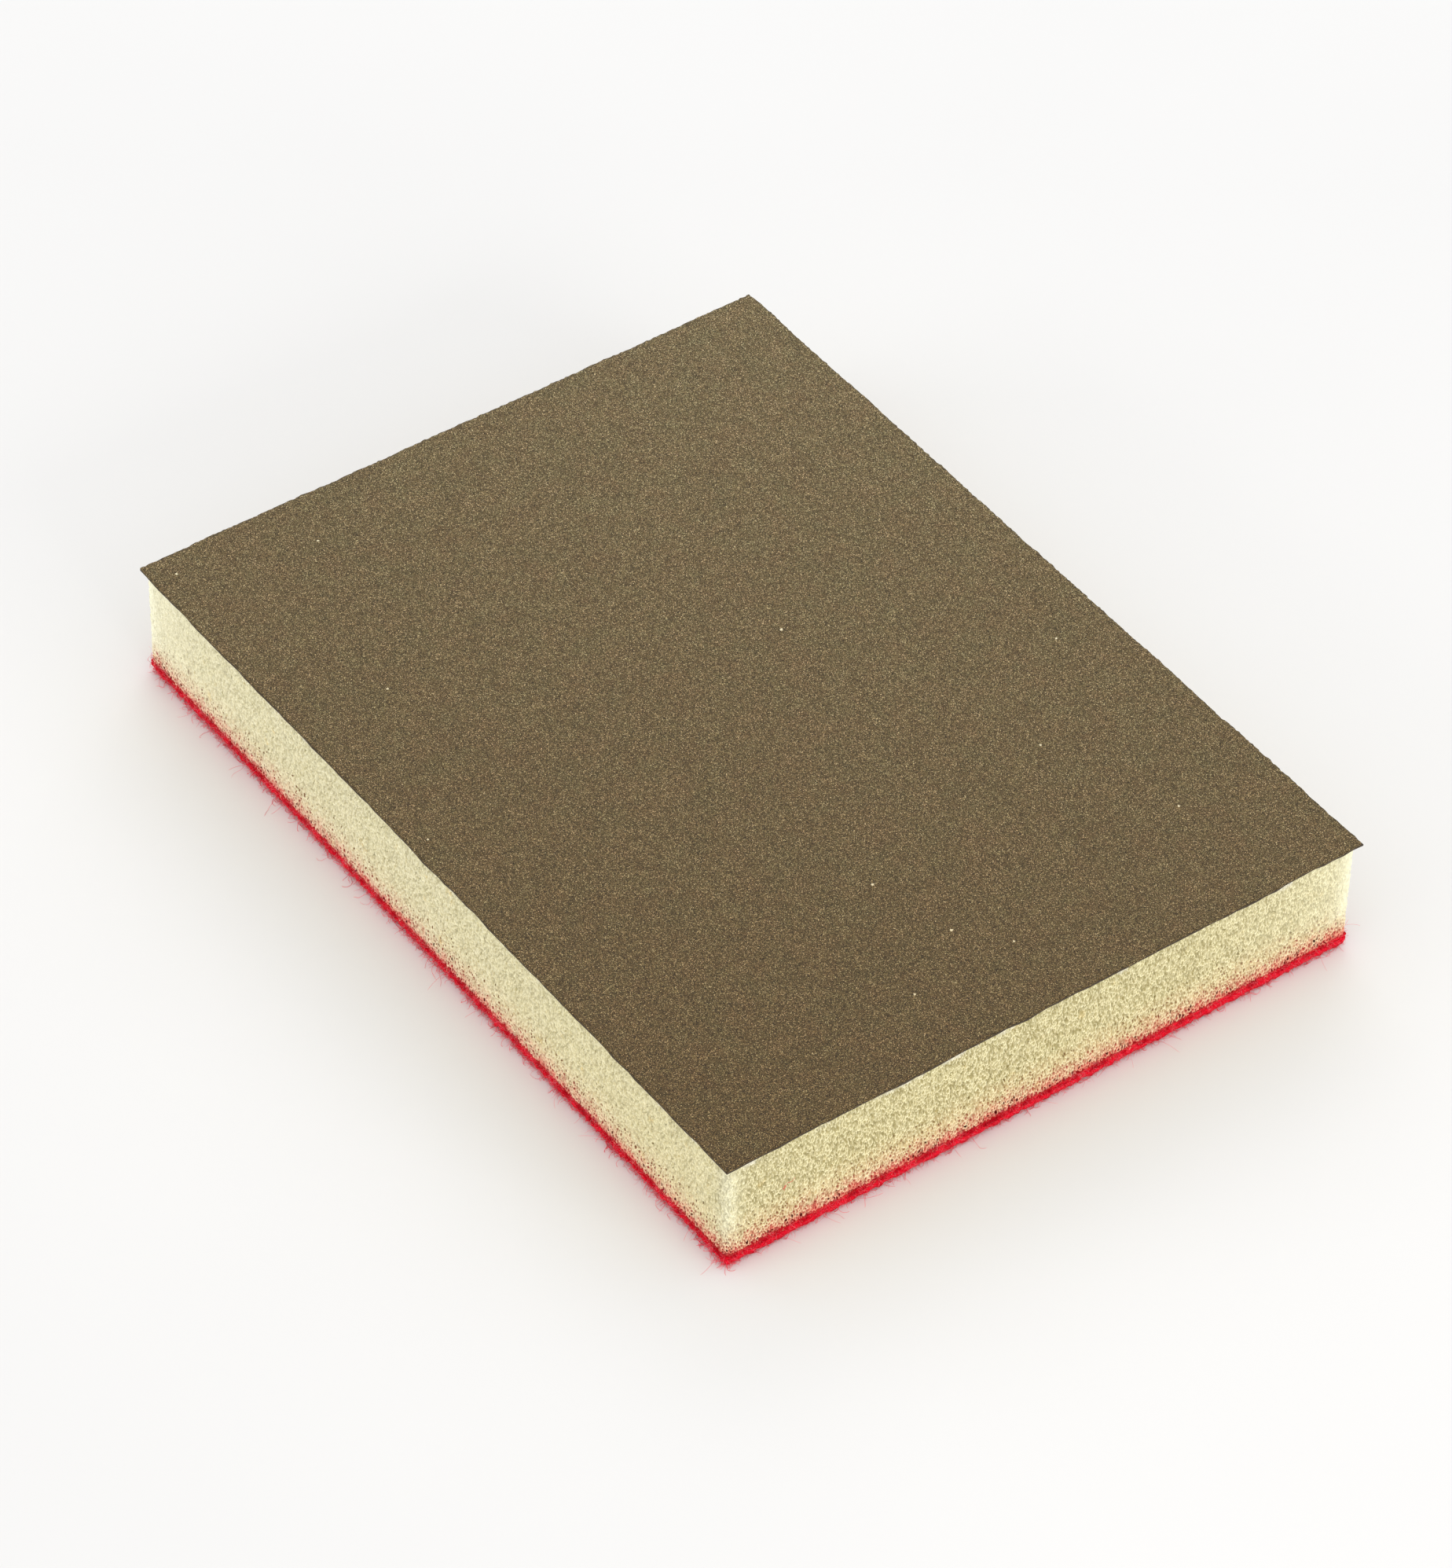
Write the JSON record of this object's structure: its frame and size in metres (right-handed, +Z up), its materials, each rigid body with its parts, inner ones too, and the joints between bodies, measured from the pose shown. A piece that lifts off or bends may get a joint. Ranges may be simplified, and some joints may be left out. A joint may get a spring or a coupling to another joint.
{
  "type": "sanding pad",
  "caption": "Flat, flexible hand sanding pad: a grit sheet bonded to open-cell foam, backed with a loop fabric that grips a hook-faced sander or block.",
  "frame": {"origin": "centre of the underside of the loop pile, where the pad rests", "axes": "+X along the length, +Y across the width, +Z up out of the abrasive face"},
  "size_m": [0.1, 0.075, 0.0137],
  "materials": {
    "size_coat": "thin resin glaze, semi-matte",
    "abrasive_grains": "sharp mineral grit, brown-grey with pale glints",
    "make_coat": "matte resin",
    "backing_sheet": "latex-filled paper, matte, dark cut edge",
    "upper_adhesive": "soft hot-melt film",
    "foam_core": "open-cell polyurethane foam, cream yellow",
    "lower_adhesive": "soft hot-melt film",
    "loop_ground_knit": "fine red warp knit",
    "loop_pile": "brushed red loops, fuzzy"
  },
  "bodies": {
    "fabric_side": {"loop_pile": "loop_pile", "loop_ground_knit": "loop_ground_knit", "lower_adhesive": "lower_adhesive", "foam_core": "foam_core"},
    "abrasive_side": {"upper_adhesive": "upper_adhesive", "backing_sheet": "backing_sheet", "make_coat": "make_coat", "abrasive_grains": "abrasive_grains", "size_coat": "size_coat"}
  },
  "joints": [
    {"name": "foam_compression", "type": "slide", "parent": "fabric_side", "child": "abrasive_side", "axis": [0, 0, -1], "range_m": [0, 0.0045], "stiffness_N_per_m": 25000, "deforming": ["foam_core"]}
  ]
}
